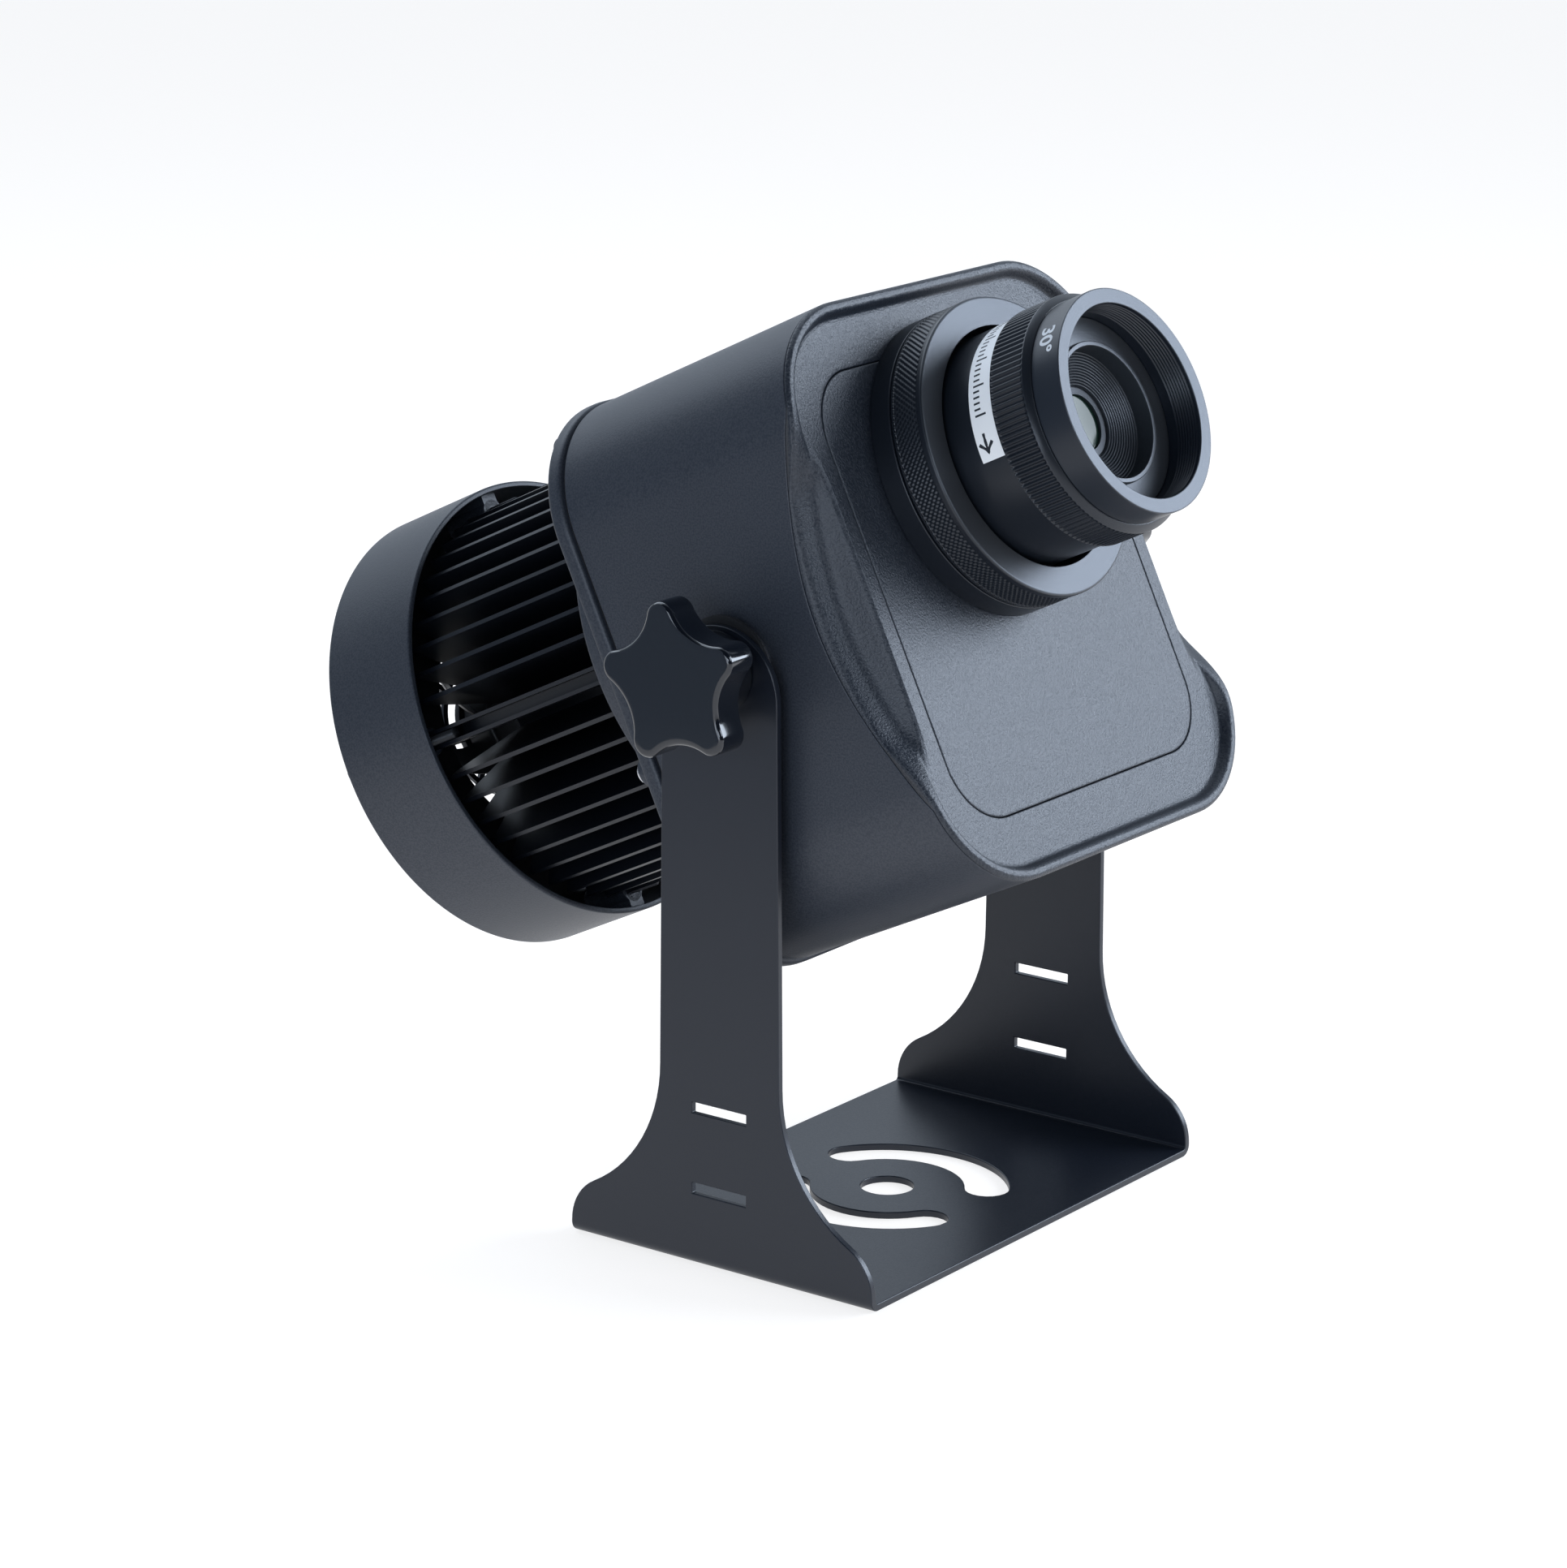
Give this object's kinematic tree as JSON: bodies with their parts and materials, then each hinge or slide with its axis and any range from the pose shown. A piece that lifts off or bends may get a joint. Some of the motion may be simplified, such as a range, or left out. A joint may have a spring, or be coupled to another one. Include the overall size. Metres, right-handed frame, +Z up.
{
  "type": "gobo projector",
  "caption": "Compact LED gobo projector: a finned lamp head with a focusing lens barrel, tilting in a U-shaped yoke that star knobs clamp.",
  "frame": {"origin": "centre of the bolt hole in the yoke's base, at the underside that rests on a surface", "axes": "+X ahead, the way the lens points when level, +Y to the left, +Z up from the base to the tilt axis"},
  "size_m": [0.2946, 0.2244, 0.2971],
  "materials": {
    "bracket": "satin black powder coat",
    "body": "fine charcoal powder coat",
    "cover": "sandy charcoal powder coat",
    "lens": "black anodised, satin",
    "lens_front": "black anodised, satin, lighter front face",
    "sink": "black anodised",
    "knob": "glossy moulded",
    "steel": "plain",
    "black_screw": "black oxide",
    "nylon": "matt",
    "seal": "matt",
    "fan": "matt",
    "copper": "plain copper",
    "board": "white solder mask",
    "lens_glass": "clear coated",
    "gobo": "dichroic coated",
    "inner_alu": "plain",
    "label": "white film"
  },
  "bodies": {
    "yoke": {"yoke_base": "bracket", "yoke_arm_right": "bracket", "yoke_arm_left": "bracket"},
    "knob_right_body": {"knob_right": "knob", "stud_right": "steel"},
    "knob_left_body": {"knob_left": "knob", "stud_left": "steel"},
    "fan_rotor_body": {"fan_rotor": "fan"},
    "lock_ring_body": {"lock_ring": "lens"},
    "lens_carriage": {"inner_lens_tube": "lens", "front_lens": "lens_glass", "rear_lens": "lens_glass", "lens_retainer": "lens"},
    "focus_barrel": {"lens_barrel": "lens", "front_ring": "lens_front", "focus_label": "label"},
    "head": {"pivot_bosses": "steel", "friction_washers": "nylon", "housing_tube": "body", "front_gasket": "seal", "front_cover": "cover", "front_panel": "cover", "rear_gasket": "seal", "rear_bezel": "body", "bezel_screws": "steel", "cable_gland": "nylon", "gland_nut": "nylon", "heat_sink": "sink", "shroud_ring": "body", "rear_grille": "bracket", "shroud_screws": "black_screw", "fan_frame": "fan", "heat_spreader": "copper", "led_board": "board", "condenser_barrel": "lens", "condenser_lens_rear": "lens_glass", "condenser_spacer": "lens", "condenser_lens_front": "lens_glass", "gobo_holder": "lens", "gobo_glass": "gobo", "gobo_clip": "steel", "driver_bracket": "inner_alu", "driver_box": "inner_alu", "lens_mount": "lens", "mount_nut": "lens"}
  },
  "joints": [
    {"name": "head_tilt", "type": "hinge", "parent": "yoke", "child": "head", "pos_m": [0, 0, 0.1885], "axis": [0, -1, 0], "range_deg": [-115.8, 64.2]},
    {"name": "knob_right_turn", "type": "hinge", "parent": "head", "child": "knob_right_body", "pos_m": [0, -0.1, 0.1885], "axis": [0, -1, 0], "range_deg": [0, 360]},
    {"name": "knob_left_turn", "type": "hinge", "parent": "head", "child": "knob_left_body", "pos_m": [0, 0.1, 0.1885], "axis": [0, 1, 0], "range_deg": [0, 360]},
    {"name": "lock_ring_turn", "type": "hinge", "parent": "head", "child": "lock_ring_body", "pos_m": [0.07606, 0, 0.26092], "axis": [0.9003, 0, 0.4352], "range_deg": [-15, 60]},
    {"name": "focus_slide", "type": "slide", "parent": "head", "child": "lens_carriage", "axis": [0.9003, 0, 0.4352], "range_m": [-0.006, 0.006]},
    {"name": "focus_turn", "type": "hinge", "parent": "lens_carriage", "child": "focus_barrel", "pos_m": [0.07606, 0, 0.26092], "axis": [0.9003, 0, 0.4352], "range_deg": [-107.9, 107.9]},
    {"name": "fan_spin", "type": "hinge", "parent": "head", "child": "fan_rotor_body", "pos_m": [-0.15222, 0, 0.1298], "axis": [0.9003, 0, 0.4352], "continuous": true}
  ],
  "couplings": [
    {"joint": "focus_slide", "follows": "focus_turn", "m_per_rad": 0.0031831}
  ]
}
